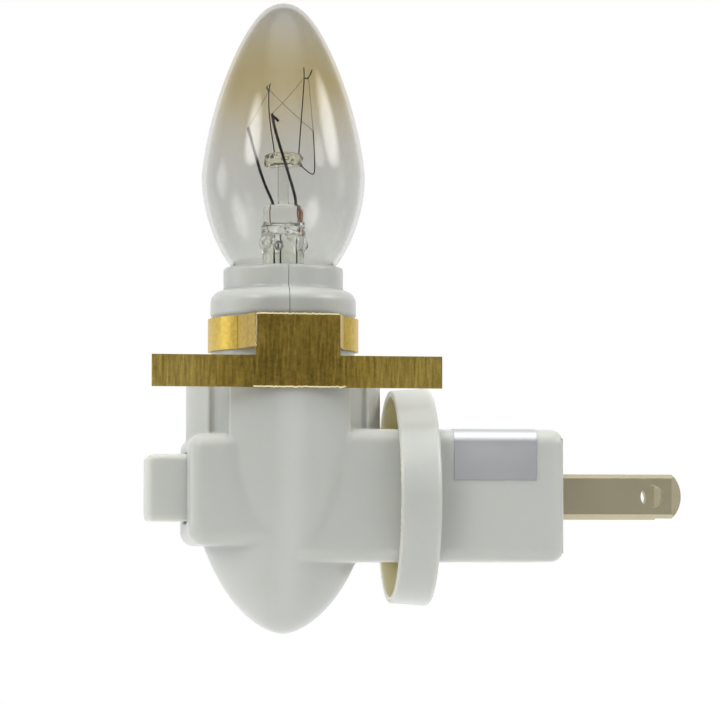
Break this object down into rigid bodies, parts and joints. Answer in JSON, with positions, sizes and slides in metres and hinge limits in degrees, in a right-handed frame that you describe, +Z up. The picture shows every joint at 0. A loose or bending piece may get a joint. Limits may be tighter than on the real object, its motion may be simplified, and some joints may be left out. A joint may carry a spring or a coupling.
{
  "type": "plug-in night light",
  "caption": "Plug-in night light: swivel blade plug, round housing with push switch, small screw bulb and a brass bracket for a shade panel",
  "frame": {"origin": "centre of the plug's end face, where it meets the outlet", "axes": "+X out of the end face into the wall, along the blades; +Z up along the bulb; the picture looks along +Y"},
  "size_m": [0.0749, 0.0308, 0.0891],
  "materials": {
    "shell_plastic": "milky off-white moulded plastic, glossy",
    "button_plastic": "milky off-white moulded plastic, glossy",
    "blade_metal": "nickel-plated brass, dull warm grey",
    "contact_brass": "plain stamped brass",
    "spring_bronze": "spring bronze strip",
    "rivet_metal": "plated rivets",
    "label_foil": "bare silver foil",
    "moulding_brown": "brown moulded insulator",
    "socket_moulding": "dark moulded insulator",
    "spring_steel": "drawn spring wire",
    "nylon": "natural nylon",
    "wire_black": "insulated wire",
    "wire_white": "insulated wire",
    "bracket_brass": "brushed brass, grain upright on the bar",
    "bulb_glass": "clear blown glass with a faint warm tint",
    "stem_glass": "clear pressed glass",
    "lead_metal": "drawn nickel wire, dark",
    "filament_metal": "fine coiled tungsten wire",
    "cap_metal": "nickel-plated brass",
    "cap_glass": "black glass insulator",
    "solder": "tinned solder button"
  },
  "bodies": {
    "plug": {"plug_shell": "shell_plastic", "plug_end_plate": "shell_plastic", "blade_near": "blade_metal", "blade_rear": "blade_metal", "brush_ring": "spring_bronze", "brush_centre": "spring_bronze", "brush_rivets": "rivet_metal", "rating_label": "label_foil"},
    "lamp": {"housing_left": "shell_plastic", "housing_right": "shell_plastic", "slip_carrier": "moulding_brown", "slip_ring": "contact_brass", "slip_centre_contact": "contact_brass", "socket_insulator": "socket_moulding", "socket_screw_shell": "contact_brass", "socket_shell_terminal": "contact_brass", "socket_centre_contact": "contact_brass", "switch_base": "moulding_brown", "switch_contact_line": "contact_brass", "switch_contact_load": "contact_brass", "switch_spring": "spring_steel", "wire_line": "wire_black", "wire_load": "wire_black", "wire_neutral": "wire_white"},
    "button": {"switch_button": "button_plastic", "switch_plunger": "nylon"},
    "rotor": {"switch_rotor": "nylon", "switch_bridge": "contact_brass"},
    "bracket": {"brass_bracket": "bracket_brass"},
    "bulb_foot": {"bulb_tip_contact": "solder"},
    "bulb": {"bulb_glass": "bulb_glass", "bulb_stem": "stem_glass", "bulb_lead_wires": "lead_metal", "bulb_support_wires": "lead_metal", "bulb_filament": "filament_metal", "bulb_cap": "cap_metal", "bulb_cap_insulator": "cap_glass"}
  },
  "joints": [
    {"name": "plug_swivel", "type": "hinge", "parent": "plug", "child": "lamp", "pos_m": [-0.0176, 0, 0], "axis": [1, 0, 0], "range_deg": [-90, 90]},
    {"name": "switch_press", "type": "slide", "parent": "lamp", "child": "button", "axis": [1, 0, 0], "range_m": [0, 0.0025], "stiffness_N_per_m": 600, "springref_m": -0.002, "deforming": ["switch_spring"]},
    {"name": "rotor_turn", "type": "hinge", "parent": "lamp", "child": "rotor", "pos_m": [-0.0382, 0, 0.00115], "axis": [1, 0, 0], "range_deg": [0, 90]},
    {"name": "bracket_turn", "type": "hinge", "parent": "lamp", "child": "bracket", "pos_m": [-0.0382, 0, 0.0226], "axis": [0, 0, 1], "range_deg": [-90, 20]},
    {"name": "bulb_rise", "type": "slide", "parent": "lamp", "child": "bulb_foot", "axis": [0, 0, 1], "range_m": [0, 0.00762]},
    {"name": "bulb_turn", "type": "hinge", "parent": "bulb_foot", "child": "bulb", "pos_m": [-0.0382, 0, 0.0225], "axis": [0, 0, 1], "range_deg": [0, 1080]}
  ],
  "couplings": [
    {"joint": "rotor_turn", "follows": "switch_press", "rad_per_m": 628.32},
    {"joint": "bulb_turn", "follows": "bulb_rise", "rad_per_m": 2473.7}
  ]
}
